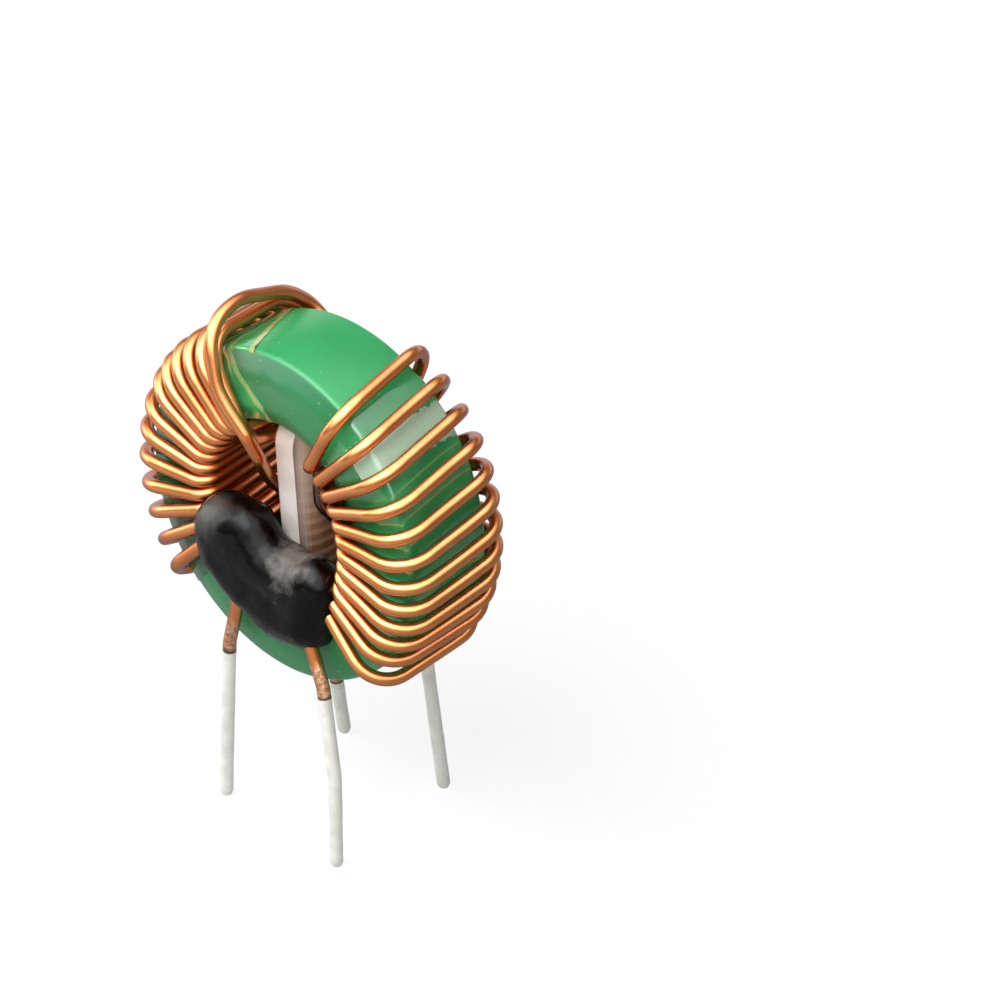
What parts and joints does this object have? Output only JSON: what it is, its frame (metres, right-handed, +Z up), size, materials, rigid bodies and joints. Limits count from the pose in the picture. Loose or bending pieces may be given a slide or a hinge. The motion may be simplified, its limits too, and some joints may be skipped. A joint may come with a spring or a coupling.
{
  "type": "toroidal inductor",
  "caption": "Common-mode choke: coated ferrite ring carrying enamelled copper windings kept apart by a divider, with glued and tinned wire leads for soldering into a circuit board",
  "frame": {"origin": "on the seating plane that the four leads stand on, straight below the ring's centre", "axes": "+Z up; the ring's own axis runs along Y and its front face looks toward -Y; +X is to the right of someone facing the front face"},
  "size_m": [0.0286, 0.0136, 0.0398],
  "materials": {
    "ferrite": "matte",
    "epoxy_coating": "satin",
    "polyester_tape": "gloss",
    "enamelled_copper": "polished",
    "divider_board": "matte",
    "black_adhesive": "semi-gloss",
    "solder_tin": "satin"
  },
  "bodies": {
    "root": {"ferrite_core": "ferrite", "core_coating": "epoxy_coating", "insulation_tape_left": "polyester_tape", "insulation_tape_right": "polyester_tape", "winding_left": "enamelled_copper", "winding_right": "enamelled_copper", "divider": "divider_board", "adhesive_front": "black_adhesive", "adhesive_back": "black_adhesive", "tinned_end_front_left": "solder_tin", "tinned_end_front_right": "solder_tin", "tinned_end_back_right": "solder_tin", "tinned_end_back_left": "solder_tin"}
  },
  "joints": []
}
